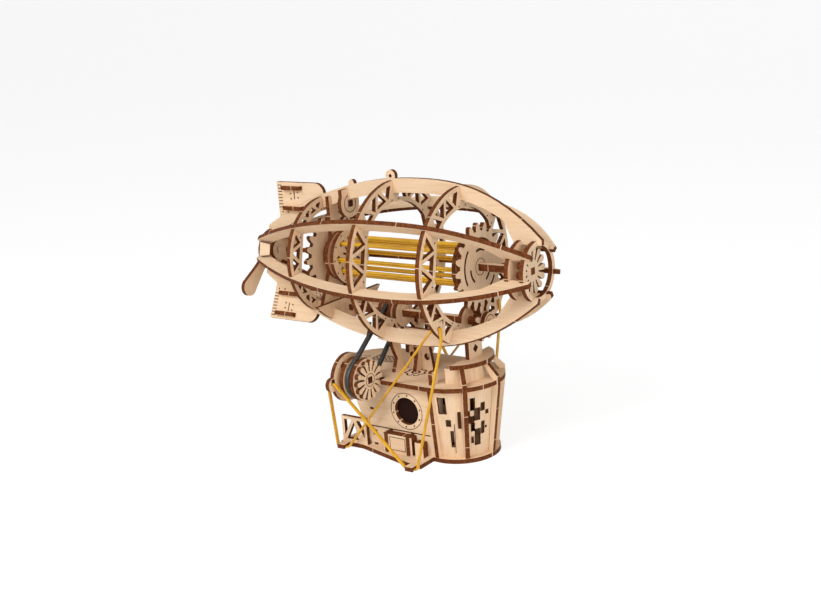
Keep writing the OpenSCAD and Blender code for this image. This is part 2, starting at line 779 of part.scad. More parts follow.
module layshaft() color(birch_dark)
    cross_plate(lay_fore_x, lay_fore_x - lay_aft_x, lay_at) square(shaft_w, center = true);
module lay_bushes() color(birch) {
    for (x = [lower_bearing_x, ring_mid_x, ring_fore_x]) cross_plate(x, ply, lay_at) disc2d(bush_r);
    cross_plate(lay_collar_x, ply, lay_at) disc2d(lay_collar_r);
}
module pinion() color(birch_dark) cross_plate(pinion_x, pinion_t, lay_at)
    gear2d(pinion_teeth, lay_angle + 180 + 180 / pinion_teeth);
module upper_pulley_core() color(birch_dark)
    cross_plate(belt_x + groove_half, 2 * groove_half, lay_at) disc2d(upper_belt_r - belt_r - belt_gap);
module upper_pulley_flanges() color(birch) for (x = [belt_x + groove_half + ply, belt_x - groove_half])
    cross_plate(x, ply, lay_at) disc2d(upper_flange_r);

// Belt: one closed round tube over both pulleys

function belt_ring(c, r, a) = let (n = [0, cos(a), sin(a)]) [c + r * n, n];
belt_rings = concat(
    [for (i = [0:belt_arc_steps])
        belt_ring(upper_c, upper_belt_r, belt_angle + belt_tangent * (2 * i / belt_arc_steps - 1))],
    [for (i = [0:belt_arc_steps])
        belt_ring(lower_c, lower_belt_r,
            belt_angle + belt_tangent + (360 - 2 * belt_tangent) * i / belt_arc_steps)]
);

// Faces of a closed loop of rings, each with the same number of points
function loop_faces(rings, sides) = [for (i = [0:rings - 1], j = [0:sides - 1])
    let (p = i * sides, q = ((i + 1) % rings) * sides, k = (j + 1) % sides)
    each [[p + j, q + j, q + k], [p + j, q + k, p + k]]];

module drive_belt() color("dimgray") polyhedron(
    [for (s = belt_rings, j = [0:belt_sides - 1])
        s[0] + belt_r * (cos(360 * j / belt_sides) * s[1] + sin(360 * j / belt_sides) * [1, 0, 0])],
    loop_faces(len(belt_rings), belt_sides)
);

// Lower pulley and its bracket

module lower_pulley_core() color(birch_dark)
    pulley_plate(groove_half, 2 * groove_half) disc2d(lower_belt_r - belt_r - belt_gap);
module lower_pulley_flange() color(birch) for (x = [groove_half + ply, -groove_half])
    pulley_plate(x) disc2d(lower_flange_r);
module lower_petal_flange() color(birch) pulley_plate(petal_x) daisy2d(pulley_petals, lower_flange_r - 0.6);
axle_aft = bracket_x - 2 * ply - side_gap - 0.4;
module pulley_axle() color(birch_dark) {
    pulley_plate(petal_x, petal_x - axle_aft) square(shaft_w, center = true);
    for (p = [[bracket_x, bush_r], [bracket_x - ply - side_gap, bush_r + 1.2]])
        pulley_plate(p[0]) difference() {
            circle(p[1]);
            square(shaft_w - 0.2, center = true);
        }
}

// Plates behind the pulley on both sides of the roof; each has an ear that a rigging band passes through
ear_r = 3;
ear_hole_h = 2.6;
module bracket2d() {
    difference() {
        union() {
            circle(bracket_r);
            translate([-bracket_ear, ear_z - pulley_z]) circle(ear_r);
        }
        translate([-bracket_ear - rig_w / 2 - 0.3, ear_z - pulley_z]) square([rig_w + 0.6, ear_hole_h]);
        for (a = [60, 120, 240]) rotate(a) translate([bore_r + 3.4, 0]) circle(1.7, $fn = 24);
    }
}
module pulley_bracket() color(birch) {
    pulley_plate(bracket_x) difference() {
        bracket2d();
        circle(bore_r);
    }
    mirror([0, 1, 0]) pulley_plate(bracket_x) bracket2d();
}

// Gondola

// The deck widens from the stern to the front hooks and ends at the bulkhead
flare_aft_x = -15;
flare_fore_x = 16;
deck_fore_x = cabin_x - ply - 1;
hooks = [[hook_rear_x, floor_half_w], [hook_fore_x, floor_wide]];
module floor2d() {
    polygon([[floor_rear_x, -floor_half_w], [flare_aft_x, -floor_half_w], [flare_fore_x, -floor_wide],
        [deck_fore_x, -floor_wide], [deck_fore_x, floor_wide], [flare_fore_x, floor_wide],
        [flare_aft_x, floor_half_w], [floor_rear_x, floor_half_w]]);
    translate([deck_fore_x - 1, -floor_front_r]) square([cabin_x - deck_fore_x + 1, 2 * floor_front_r]);
    translate([cabin_x, 0]) circle(floor_front_r);
    for (h = hooks, s = [-1, 1]) translate([h[0], s * (h[1] + hook_reach / 2 - 1)])
        square([2 * hook_half, hook_reach + 2], center = true);
}
module floor_plate() color(birch) difference() {
    flat_plate(0) floor2d();
    // Each hook is relieved below, so that its band lies above the base
    for (h = hooks, s = [0, 1]) mirror([0, s, 0])
        translate([h[0] - 2 * hook_half, h[1] + hook_in - rig_w / 2 - 0.3, -1])
            cube([4 * hook_half, rig_w + 0.6, 1 + hook_relief]);
}

horn_in = 14.5;
horn_out = 18.5;
horn_top = roof_top + 6;
notch_in = pulley_y - lower_flange_r - 0.8;
// Where the underside of the belt's lower run passes the top of the roof
belt_side = 0.6;
belt_low_a = belt_angle - belt_tangent;
belt_low = [lower_c[1], lower_c[2]] + (lower_belt_r + belt_r) * [cos(belt_low_a), sin(belt_low_a)];
belt_notch = -belt_low[0] + (roof_top - belt_low[1]) * tan(belt_low_a) - belt_side;
module roof_plate() color(birch) flat_plate(roof_z) difference() {
    hull() for (x = [roof_aft_x, cabin_x]) translate([x, 0]) circle(roof_half_w, $fn = 96);
    for (a = cabin_rib_angles) translate([cabin_x, 0]) rotate(a)
        translate([cabin_top_r + rib_seat - fit_gap, -ply / 2 - fit_gap]) square([9, ply + 2 * fit_gap]);
    for (s = [0, 1]) mirror([0, s]) {
        // The bulkhead's horns and the brackets pass through the roof
        translate([cabin_x - ply - fit_gap, horn_in - fit_gap])
            square([ply + 2 * fit_gap, horn_out - horn_in + 2 * fit_gap]);
        translate([back_x - fit_gap, wall_out + 0.1]) square([ply + 2 * fit_gap, roof_half_w]);
    }
    // Room for the belt's lower run, which rises past the roof's edge, and for the pulley
    translate([belt_x - belt_r - belt_side, -belt_notch - roof_half_w])
        square([2 * (belt_r + belt_side), roof_half_w]);
    translate([belt_x - groove_half - ply - 0.6, -notch_in - roof_half_w])
        square([groove_half + ply + petal_x + 1.2, roof_half_w]);
}

// Side walls with a raked stern edge and a porthole
wall_low_x = -11.4;
wall_high_x = -22.6;
module wall2d() {
    difference() {
        polygon([[wall_low_x, ply], [wall_fore_x, ply], [wall_fore_x, roof_z], [wall_high_x, roof_z]]);
        translate([porthole_x, porthole_z]) circle(porthole_r);
    }
}
module starboard_wall() color(birch) side_plate(-wall_y) wall2d();
module port_wall() color(birch) side_plate(wall_y) wall2d();

// Stern plate between the side walls
stern_half_w = wall_y - ply / 2 - fit_gap;
module stern_plate() color(birch) base_plate(stern_x) difference() {
    translate([-stern_half_w, ply]) square([2 * stern_half_w, wall_h]);
    for (y = [-8, 8]) translate([y, ply + wall_h * 0.55]) circle(wall_h / 8);
    translate([-7, ply + wall_h / 8]) square([14, wall_h * 0.28]);
}

// Bulkhead between the side walls and the cabin, with a doorway and two horns above the roof
bulkhead_low = wall_out + 0.6;
bulkhead_high = cabin_top_r + 1.2;
door_half = 12;
door_low = 4;
door_high = roof_z - 3;
module bulkhead() color(birch) base_plate(cabin_x) difference() {
    union() {
        polygon([[-bulkhead_low, ply], [bulkhead_low, ply],
            [bulkhead_high, roof_z], [-bulkhead_high, roof_z]]);
        for (s = [-1, 1]) translate([s * (horn_in + horn_out) / 2, (roof_z - 1 + horn_top) / 2])
            square([horn_out - horn_in, horn_top - roof_z + 1], center = true);
    }
    translate([-door_half, door_low]) square([2 * door_half, door_high - door_low]);
}

// Bent veneer round the front of the cabin, flaring upwards, with window openings
// Each opening: angle from the nose, sill, width, height; sill and height as shares of the wall's height
cabin_windows = [
    [79, 0.656, 4, 0.25], [72, 0.469, 2.4, 0.106], [68, 0.156, 1.6, 0.25], [36, 0.688, 2.4, 0.188],
    [29, 0.531, 3, 0.188], [20, 0.656, 2.4, 0.125], [36, 0.375, 2, 0.125], [28, 0.156, 3, 0.25],
    [19, 0.312, 2, 0.188]
];
module cabin_wall() color(birch) translate([cabin_x + fit_gap, 0, 0]) difference() {
    rotate([0, 0, -90]) rotate_extrude(angle = 180)
        polygon([[cabin_low_r - veneer, ply], [cabin_low_r, ply], [cabin_top_r, roof_z],
            [cabin_top_r - veneer, roof_z]]);
    for (w = cabin_windows, s = [-1, 1]) rotate([0, 0, s * w[0]])
        translate([cabin_low_r - 4, -w[2] / 2, ply + w[1] * wall_h])
            cube([cabin_top_r - cabin_low_r + 5, w[2], w[3] * wall_h]);
}

// Ribs that stand outside the cabin wall, pass the roof's edge and carry the canopy
module cabin_ribs() color(birch_dark) for (a = cabin_rib_angles) translate([cabin_x, 0, 0]) rotate([0, 0, a])
    side_plate(0) polygon([
        [cabin_low_r + 2 * rib_seat, ply], [cabin_rib_out[0], ply], [cabin_rib_out[1], roof_z - 1],
        [cabin_rib_out[1], roof_top + 1.5], [canopy_r - 0.3, canopy_z], [collar_r + 0.1, canopy_z],
        [cabin_top_r + 2 * rib_seat, roof_top + 0.1], [cabin_top_r + 2 * rib_seat, roof_z]
    ]);

// Canopy over the cabin's front: a disc cut off straight behind
module canopy_plate() color(birch) flat_plate(canopy_z) intersection() {
    translate([cabin_x, 0]) circle(canopy_r, $fn = 96);
    translate([cabin_x + canopy_cut, -canopy_r]) square(2 * canopy_r);
}
collar_sweep = 150;
module collar_wall() color(birch) translate([cabin_x, 0, roof_top]) rotate([0, 0, -collar_sweep / 2])
    rotate_extrude(angle = collar_sweep) translate([collar_r - veneer, 0])
        square([veneer, canopy_z - roof_top]);

// Lattice frames beside the stern
truss_l = 14.4;
truss_h = 12.5;
truss_x = -27;
truss_y = wall_out + ply / 2 + fit_gap;
module truss_frames() color(birch) for (s = [-1, 1])
    side_plate(s * truss_y) translate([truss_x, ply]) difference() {
    square([truss_l, truss_h]);
    polygon([[1.5, 3.2], [5.8, truss_h - 1.5], [1.5, truss_h - 1.5]]);
    polygon([[2.6, 1.6], [truss_l / 2 + 2.2, 1.6], [7, truss_h - 2.4]]);
    polygon([[8.6, truss_h - 1.5], [truss_l - 1.5, 3], [truss_l - 1.5, truss_h - 1.5]]);
}

// Cargo on the starboard deck: a strapped crate and a small box
crate_x = -1.6;
strap_t = 0.55;
crate_y = -wall_out - 0.1 - crate_d;
small_x = crate_x + crate_l + 1.6;
small_l = 4.4;
module cargo_boxes() color(birch) {
    translate([crate_x, crate_y + strap_t + fit_gap, ply])
        cube([crate_l, crate_d - strap_t - fit_gap, crate_h]);
    translate([small_x, crate_y + strap_t + fit_gap, ply]) cube([small_l, crate_d - 1, crate_h * 0.8]);
}
strap_w = 1.6;
strap_in = 1.2;
module crate_straps() color(birch_dark) for (x = [crate_x + strap_in, crate_x + crate_l - strap_in - strap_w])
    translate([x, crate_y, ply]) difference() {
        cube([strap_w, crate_d, crate_h + strap_t + fit_gap]);
        translate([-1, strap_t, -1]) cube([strap_w + 2, crate_d, crate_h + 1 + fit_gap]);
    }

// Keel between the middle and fore rings, with a column down to the roof: two plates that cross
keel_low = axis_h - 35.6;
keel_top = axis_h - 31.2;
column_wing = 6;
module column() color(birch) {
    base_plate(column_x) polygon([[-column_half_w, roof_top], [column_half_w, roof_top],
        [column_half_w * 0.6, (roof_top + keel_low) / 2], [column_half_w * 0.8, keel_low + 1],
        [-column_half_w * 0.8, keel_low + 1], [-column_half_w * 0.6, (roof_top + keel_low) / 2]]);
    side_plate(0) difference() {
        union() {
            translate([ring_mid_x + fit_gap, keel_low])
                square([ring_fore_x - ply - ring_mid_x - 2 * fit_gap, keel_top - keel_low]);
            polygon([[column_x - ply - column_wing, roof_top], [column_x + column_wing, roof_top],
                [column_x + column_wing * 0.6, keel_low + 1],
                [column_x - ply - column_wing * 0.6, keel_low + 1]]);
        }
        for (x = [column_x - ply - 3, column_x + 3])
            translate([x, (roof_top + keel_low) / 2 - 1]) circle(1.6);
        for (x = [22, 29]) translate([x, (keel_low + keel_top) / 2]) circle(1.2);
    }
}

// Post from the canopy to the fore ring, with a diamond hole
post_x = ring_fore_x + ply + fit_gap;
post_top = axis_h - ring_rad(ring_fore_x) + 3.4;
diamond_z = axis_h - 37;
diamond_w = 2.8;
module front_post() color(birch) base_plate(post_x) difference() {
    translate([-post_half_w, canopy_z + ply]) square([2 * post_half_w, post_top - canopy_z - ply]);
    translate([0, diamond_z]) rotate(45) square(diamond_w, center = true);
}

// Rigging bands: a flat closed loop on each side, crossing itself below the pulley

function unit2(v) = v / norm(v);
function turn(a, b) = unit2([b[0] - a[0], b[2] - a[2]]);
// Offset of a corner, so that both stretches keep their thickness
function corner(before, at, after) =
    let (u = turn(before, at), v = turn(at, after), n = [-u[1] - v[1], u[0] + v[0]])
    n / (1 + u[0] * v[0] + u[1] * v[1]);
rig_count = len(rig_route);
module rig_band() {
    polyhedron(
        [for (i = [0:rig_count - 1])
            let (p = rig_route[i],
                c = corner(rig_route[(i + rig_count - 1) % rig_count], p, rig_route[(i + 1) % rig_count]))
            for (k = [[-1, -1], [-1, 1], [1, 1], [1, -1]])
                [p[0] + k[0] * c[0] * rig_t / 2, p[1] + k[1] * rig_w / 2, p[2] + k[0] * c[1] * rig_t / 2]],
        loop_faces(rig_count, 4)
    );
}
module rigging_bands() color(rubber) for (m = [0, 1]) mirror([0, m, 0]) rig_band();

rib_top();
rib_bottom_fore();
rib_bottom_aft();
rib_bottom_port();
rib_starboard_upper();
rib_starboard_lower();
rib_port_upper();
rib_port_lower();
ring_aft();
ring_mid();
ring_fore();
nose_plate();
nose_ring();
tail_end_plate();
tail_cheeks();
tail_fins();
fin_slats();
bearing_plate_upper();
bearing_plate_lower();
upper_peg();
rear_frame();
main_shaft();
shaft_bushes();
rear_gear();
plain_disc();
rear_band_disc();
motor_bands();
front_band_disc();
front_gear();
nose_wheel();
prop_axle();
propeller();
layshaft();
lay_bushes();
pinion();
upper_pulley_core();
upper_pulley_flanges();
drive_belt();
lower_pulley_core();
lower_pulley_flange();
lower_petal_flange();
pulley_axle();
pulley_bracket();
floor_plate();
roof_plate();
starboard_wall();
port_wall();
stern_plate();
bulkhead();
cabin_wall();
cabin_ribs();
canopy_plate();
collar_wall();
truss_frames();
cargo_boxes();
crate_straps();
column();
front_post();
rigging_bands();
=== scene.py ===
import math

import bmesh
import bpy
from mathutils import Matrix, Vector


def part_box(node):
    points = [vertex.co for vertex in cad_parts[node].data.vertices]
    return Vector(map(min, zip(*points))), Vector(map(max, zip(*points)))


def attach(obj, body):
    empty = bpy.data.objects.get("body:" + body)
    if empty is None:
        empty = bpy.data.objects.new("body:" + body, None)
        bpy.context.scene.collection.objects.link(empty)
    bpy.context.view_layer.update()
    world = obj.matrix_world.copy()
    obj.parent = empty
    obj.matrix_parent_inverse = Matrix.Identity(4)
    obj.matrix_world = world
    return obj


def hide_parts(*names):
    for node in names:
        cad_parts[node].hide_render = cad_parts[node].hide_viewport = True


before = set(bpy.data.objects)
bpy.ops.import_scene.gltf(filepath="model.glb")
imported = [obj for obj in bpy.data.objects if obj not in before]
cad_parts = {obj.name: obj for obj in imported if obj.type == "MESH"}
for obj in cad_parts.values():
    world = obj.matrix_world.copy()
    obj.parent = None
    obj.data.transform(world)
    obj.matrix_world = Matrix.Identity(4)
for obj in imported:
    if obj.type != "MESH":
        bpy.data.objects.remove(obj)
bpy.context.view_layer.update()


# Floor and backdrop: one pale sweep of paper under and behind the model, a plain sheet whose back edge
# is pulled up and whose fold is rounded. It shows nearly white, and it keeps the model's shadow.
def wire(tree, node, inputs):
    """Sets inputs of a shader node to values, or links them to the sockets of other nodes."""
    for name, given in inputs.items():
        if isinstance(given, bpy.types.NodeSocket):
            tree.links.new(given, node.inputs[name])
        else:
            node.inputs[name].default_value = given


def add_node(tree, kind, inputs, operation=None):
    node = tree.nodes.new("ShaderNode" + kind)
    if operation:
        node.operation = operation
    wire(tree, node, inputs)
    return node


def new_material(name):
    """A material with its node tree and the shader that it starts with."""
    material = bpy.data.materials.new(name)
    material.use_nodes = True
    return material, material.node_tree, material.node_tree.nodes["Principled BSDF"]


def seen_directly(tree):
    """One for what the camera, gloss or glass sees, zero for the light that falls on the model."""
    ray = tree.nodes.new("ShaderNodeLightPath").outputs
    straight = add_node(tree, "Math", {0: ray["Is Camera Ray"], 1: ray["Is Glossy Ray"]}, "ADD")
    direct = add_node(tree, "Math", {0: straight.outputs[0], 1: ray["Is Transmission Ray"]}, "ADD")
    direct.use_clamp = True
    return direct.outputs[0]


mm = 0.001
sheet_half, sheet_middle, back_rise, fold_round = 5, (0, -2.6, -0.05 * mm), 4, 0.9
sweep = bmesh.new()
bmesh.ops.create_grid(sweep, x_segments=1, y_segments=1, size=sheet_half,
                      matrix=Matrix.Translation(sheet_middle))
back_edge = [e for e in sweep.edges if all(v.co.y > 0 for v in e.verts)]
risen = bmesh.ops.extrude_edge_only(sweep, edges=back_edge)["geom"]
risen_corners = [v for v in risen if isinstance(v, bmesh.types.BMVert)]
bmesh.ops.translate(sweep, vec=(0, 0, back_rise), verts=risen_corners)
fold = [e for e in sweep.edges if all(v.co.y > 0 and v.co.z < back_rise / 2 for v in e.verts)]
bmesh.ops.bevel(sweep, geom=fold, offset=fold_round, offset_type="OFFSET", affect="EDGES", segments=24,
                profile=0.5, material=-1)
bmesh.ops.recalc_face_normals(sweep, faces=sweep.faces)
paper_mesh = bpy.data.meshes.new("paper_sweep")
sweep.to_mesh(paper_mesh)
sweep.free()
paper_mesh.shade_smooth()
paper_sweep = bpy.data.objects.new("paper_sweep", paper_mesh)
bpy.context.scene.collection.objects.link(paper_sweep)
paper_tone, paper_roughness = (0.9, 0.9, 0.9, 1), 0.9
glow_strength, glow_share = 1.2, 0.7
paper, paper_tree, paper_surface = new_material("paper")
wire(paper_tree, paper_surface, {"Base Color": paper_tone, "Roughness": paper_roughness})
paper_glow = add_node(paper_tree, "Emission", {"Strength": glow_strength})
paper_share = add_node(paper_tree, "Math", {0: seen_directly(paper_tree), 1: glow_share}, "MULTIPLY")
paper_mix = add_node(paper_tree, "MixShader", {
    0: paper_share.outputs[0], 1: paper_surface.outputs[0], 2: paper_glow.outputs[0]})
wire(paper_tree, paper_tree.nodes["Material Output"], {"Surface": paper_mix.outputs[0]})
paper_mesh.materials.append(paper)


# Studio light: an even white surround and two square soft boxes, at a level that shows colours as they are.
# The key hangs above the starboard side, the weaker fill stands off the bow, and both face the model.
surround_light = 0.3
surround = bpy.data.worlds.new("surround")
surround.use_nodes = True
surround_tree = surround.node_tree
surround_level = add_node(surround_tree, "Math", {
    0: seen_directly(surround_tree), 1: 1 - surround_light, 2: surround_light}, "MULTIPLY_ADD")
wire(surround_tree, surround_tree.nodes["Background"], {
    "Color": (1, 1, 1, 1), "Strength": surround_level.outputs[0]})
bpy.context.scene.world = surround
lamps_face = Vector((0, 0, 70 * mm))
for lamp_name, lamp_at, lamp_size, lamp_power in (
    ("key", Vector((-0.1, -0.8, 0.75)), 0.6, 7.5),
    ("fill", Vector((0.9, -0.35, 0.35)), 0.7, 3.8),
):
    lamp_data = bpy.data.lights.new(lamp_name, "AREA")
    lamp_data.size = lamp_size
    lamp_data.energy = lamp_power
    lamp = bpy.data.objects.new(lamp_name, lamp_data)
    lamp.location = lamp_at
    lamp.rotation_euler = (lamps_face - lamp_at).to_track_quat("-Z", "Y").to_euler()
    bpy.context.scene.collection.objects.link(lamp)
bpy.context.scene.view_settings.view_transform = "Standard"


# Camera: it stands off the starboard bow, a little above the envelope's axis, and is slightly rolled.
# Its lens is given as a focal length in pixels of a picture that is 821 pixels wide.
axis_height = 86 * mm
camera_turn, camera_rise, camera_roll = math.radians(37.26), math.radians(14.88), math.radians(-4.54)
stand_right, stand_up, stand_back = 2.9 * mm, -21.9 * mm, 536.4 * mm
picture_width, focal_pixels, sensor_width = 821, 1200, 36
along_floor = math.cos(camera_rise)
back = Vector((math.sin(camera_turn) * along_floor, -math.cos(camera_turn) * along_floor,
               math.sin(camera_rise)))
right = Vector((math.cos(camera_turn), math.sin(camera_turn), 0))
up = back.cross(right)
rolled_right = right * math.cos(camera_roll) + up * math.sin(camera_roll)
rolled_up = up * math.cos(camera_roll) - right * math.sin(camera_roll)
lens = bpy.data.cameras.new("camera")
lens.sensor_width = sensor_width
lens.lens = sensor_width * focal_pixels / picture_width
lens.clip_start, lens.clip_end = 0.01, 20
camera = bpy.data.objects.new("camera", lens)
camera.matrix_world = Matrix((rolled_right, rolled_up, back)).transposed().to_4x4()
camera.location = right * stand_right + up * stand_up + back * stand_back + Vector((0, 0, axis_height))
bpy.context.scene.collection.objects.link(camera)
bpy.context.scene.camera = camera


# Envelope ribs: seven bowed strips of two-millimetre birch plywood, standing out from the envelope's axis.
# They are cut by laser, so their faces are pale and grained and their cut edges are burnt brown, with a few
# pale ticks where small bridges held them in the sheet. The rings are slotted into them.
def square_to(sheet_normal):
    """For a flat sheet: how far a surface faces along the sheet's normal."""
    def facing(tree, place):
        dot = add_node(tree, "VectorMath", {0: place["Normal"], 1: sheet_normal}, "DOT_PRODUCT")
        return dot.outputs["Value"]
    return facing


def square_to_round(centre, axis, turned):
    """For sheets set round an axis: their normal is the way out from it or, if turned, the way round it."""
    across = Vector((1, 1, 1)) - Vector(axis)

    def facing(tree, place):
        offset = add_node(tree, "VectorMath", {0: place["Object"], 1: centre}, "SUBTRACT")
        flat = add_node(tree, "VectorMath", {0: offset.outputs[0], 1: across}, "MULTIPLY")
        way = add_node(tree, "VectorMath", {0: flat.outputs[0]}, "NORMALIZE")
        if turned:
            way = add_node(tree, "VectorMath", {0: axis, 1: way.outputs[0]}, "CROSS_PRODUCT")
        return square_to(way.outputs[0])(tree, place)
    return facing


def tone_ramp(tree, amount, *stops):
    """Colours along an amount; each stop is a position with its colour."""
    ramp = add_node(tree, "ValToRGB", {"Fac": amount})
    first, last = ramp.color_ramp.elements
    first.position, first.color = stops[0]
    last.position, last.color = stops[-1]
    for position, colour in stops[1:-1]:
        ramp.color_ramp.elements.new(position).color = colour
    return ramp.outputs["Color"]


def tone_mix(tree, share, under, over, blend_type="MIX"):
    mix = tree.nodes.new("ShaderNodeMix")
    mix.data_type, mix.blend_type = "RGBA", blend_type
    wire(tree, mix, {0: share, 6: under, 7: over})
    return mix.outputs[2]


grain_dark, grain_middle = (0.25, (0.76, 0.522, 0.322, 1)), (0.48, (0.85, 0.63, 0.428, 1))
grain_pale = (0.75, (0.895, 0.695, 0.505, 1))
char_dark, char_light = (0.3, (0.078, 0.020, 0.006, 1)), (0.72, (0.22, 0.068, 0.021, 1))
blotch_tint, tick_tone = (0.95, 0.90, 0.83, 1), (0.72, 0.50, 0.31, 1)
blotch_scale, char_scale = 45.0, 900.0
tick_half, face_limit = 0.16 * mm, 0.8
wood_roughness, wood_gloss, pore_depth, pore_strength = 0.58, 0.06, 0.2 * mm, 0.12


def birch_sheet(name, facing, grain, tick_way, tick_every):
    """Birch plywood with burnt edges; grain stretches its figure, and ticks come at steps along a way."""
    material, tree, surface = new_material(name)
    place = tree.nodes.new("ShaderNodeTexCoord").outputs

    stretch = add_node(tree, "Mapping", {"Vector": place["Object"], "Scale": grain})
    figure = add_node(tree, "TexNoise", {
        "Vector": stretch.outputs["Vector"], "Scale": 1.0, "Detail": 4.0, "Roughness": 0.65}).outputs["Fac"]
    blotch = add_node(tree, "TexNoise", {"Vector": place["Object"], "Scale": blotch_scale}).outputs["Fac"]
    pale = tone_ramp(tree, figure, grain_dark, grain_middle, grain_pale)
    face_tone = tone_mix(tree, blotch, pale, blotch_tint, "MULTIPLY")

    char = add_node(tree, "TexNoise", {"Vector": place["Object"], "Scale": char_scale, "Detail": 3.0})
    burnt = tone_ramp(tree, char.outputs["Fac"], char_dark, char_light)
    ticks_along = Vector(tick_way) / tick_every
    along = add_node(tree, "VectorMath", {0: place["Object"], 1: ticks_along}, "DOT_PRODUCT")
    step = add_node(tree, "Math", {0: along.outputs["Value"]}, "FRACT")
    tick = add_node(tree, "Math", {0: step.outputs[0], 1: 0.5, 2: tick_half / tick_every}, "COMPARE")
    edge_tone = tone_mix(tree, tick.outputs[0], burnt, tick_tone)

    turned_to = add_node(tree, "Math", {0: facing(tree, place)}, "ABSOLUTE")
    is_face = add_node(tree, "Math", {0: turned_to.outputs[0], 1: face_limit}, "GREATER_THAN")
    pores = add_node(tree, "Bump", {"Strength": pore_strength, "Distance": pore_depth, "Height": figure})
    wire(tree, surface, {
        "Base Color": tone_mix(tree, is_face.outputs[0], edge_tone, face_tone),
        "Normal": pores.outputs["Normal"],
        "Roughness": wood_roughness,
        "Specular IOR Level": wood_gloss,
    })
    return material


def dress(material, *names):
    """Puts one finish on CAD nodes whose shape is right as it is."""
    for name in names:
        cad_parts[name].data.materials.clear()
        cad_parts[name].data.materials.append(material)


lengthwise = (55, 950, 950)
axis_point, forward = Vector((0, 0, axis_height)), Vector((1, 0, 0))
rib_count = 7
rib_angles = [math.radians(90 + 360 / rib_count * k) for k in range(rib_count)]
rib_ply = birch_sheet("ply_rib", square_to_round(axis_point, forward, True), lengthwise, forward, 43 * mm)
dress(rib_ply, *[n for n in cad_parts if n.startswith("rib_")])


# Rings and end plates: flat plywood plates square to the envelope's axis, slotted into the ribs.
# Small dots are burnt beside each joint, as register marks for whoever puts the model together.
crosswise = (950, 950, 55)
cross_ply = birch_sheet("ply_cross", square_to(forward), crosswise, (0, 0.35, 1), 23 * mm)
dress(cross_ply, "ring_aft", "ring_mid", "ring_fore", "nose_plate", "nose_ring", "tail_end_plate",
      "bearing_plate_upper", "bearing_plate_lower", "rear_frame")
round_ply = birch_sheet("ply_round", square_to_round(axis_point, forward, False), lengthwise, forward, 9 * mm)
dress(round_ply, "tail_cheeks")

scorch_dark, scorch_light = (0, (0.036, 0.011, 0.005, 1)), (1, (0.105, 0.034, 0.014, 1))
scorch_scale, scorch_roughness = 1400.0, 0.85


def scorched(name, dark, light):
    """A dark brown, finely mottled and matt finish: burnt marks, and the painted shade behind the portholes.
    """
    material, tree, surface = new_material(name)
    place = tree.nodes.new("ShaderNodeTexCoord").outputs
    mottle = add_node(tree, "TexNoise", {"Vector": place["Object"], "Scale": scorch_scale})
    wire(tree, surface, {
        "Base Color": tone_ramp(tree, mottle.outputs["Fac"], dark, light),
        "Roughness": scorch_roughness,
        "Specular IOR Level": wood_gloss,
    })
    return material


scorch = scorched("scorch", scorch_dark, scorch_light)
burn_depth = 0.1 * mm


def burn_frame(at, normal, along):
    """A frame on a face: X along a burnt mark, Z out of the face."""
    n = Vector(normal).normalized()
    a = (Vector(along) - n * Vector(along).dot(n)).normalized()
    return Matrix.Translation(at) @ Matrix((a, n.cross(a), n)).transposed().to_4x4()


def burn_line(bm, start, end, normal, width):
    start, end = Vector(start), Vector(end)
    place = burn_frame((start + end) / 2, normal, end - start)
    size = Matrix.Diagonal(((end - start).length, width, burn_depth, 1))
    bmesh.ops.create_cube(bm, size=1, matrix=place @ size)


def burn_dot(bm, at, normal, radius):
    place = burn_frame(at, normal, Vector(normal).orthogonal())
    bmesh.ops.create_cone(bm, cap_ends=True, segments=10, radius1=radius, radius2=radius, depth=burn_depth,
                          matrix=place)


def burn_ring(bm, at, normal, radius, width, begin=0, sweep_by=360, along=None):
    """A ring or, from one angle through another and counted from along, an arc."""
    place = burn_frame(at, normal, along or Vector(normal).orthogonal())
    place = place @ Matrix.Rotation(math.radians(begin), 4, "Z")
    half, deep = width / 2, burn_depth / 2
    corners = [bm.verts.new(place @ Vector((radius + x, 0, z)))
               for x, z in ((-half, -deep), (half, -deep), (half, deep), (-half, deep))]
    section = bm.faces.new(corners)
    full = sweep_by == 360
    geometry = list(section.edges) if full else [section]
    if full:
        bm.faces.remove(section)
    bmesh.ops.spin(bm, geom=geometry, cent=place.translation, axis=Vector(normal),
                   angle=math.radians(sweep_by), steps=max(6, int(sweep_by / 9)), use_merge=full,
                   use_duplicate=False)


def make_piece(bm, name, material, body, smooth=False):
    """Turns a finished bmesh into a piece that rides on a body."""
    bmesh.ops.recalc_face_normals(bm, faces=bm.faces)
    mesh = bpy.data.meshes.new(name)
    bm.to_mesh(mesh)
    bm.free()
    mesh.materials.append(material)
    if smooth:
        mesh.shade_smooth()
    piece = bpy.data.objects.new(name, mesh)
    bpy.context.scene.collection.objects.link(piece)
    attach(piece, body)
    return piece


def out_at(angle):
    """The way out from the envelope's axis at an angle, counted from port upwards."""
    return Vector((0, math.cos(angle), math.sin(angle)))


register_radius, register_beside_rib = 0.4 * mm, 2.4 * mm
ring_marks = bmesh.new()
for ring_name, dots_in in (("ring_aft", 5.45 * mm), ("ring_mid", 8.55 * mm), ("ring_fore", 8.55 * mm)):
    ring_low, ring_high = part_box(ring_name)
    register_out = (ring_high.y - ring_low.y) / 2 - dots_in
    ring_middle = Vector((ring_high.x, 0, axis_height))
    for rib_angle in rib_angles:
        for side in (-1, 1):
            dot_angle = rib_angle + side * register_beside_rib / register_out
            burn_dot(ring_marks, ring_middle + out_at(dot_angle) * register_out, forward, register_radius)
make_piece(ring_marks, "ring_register_dots", scorch, "hull")


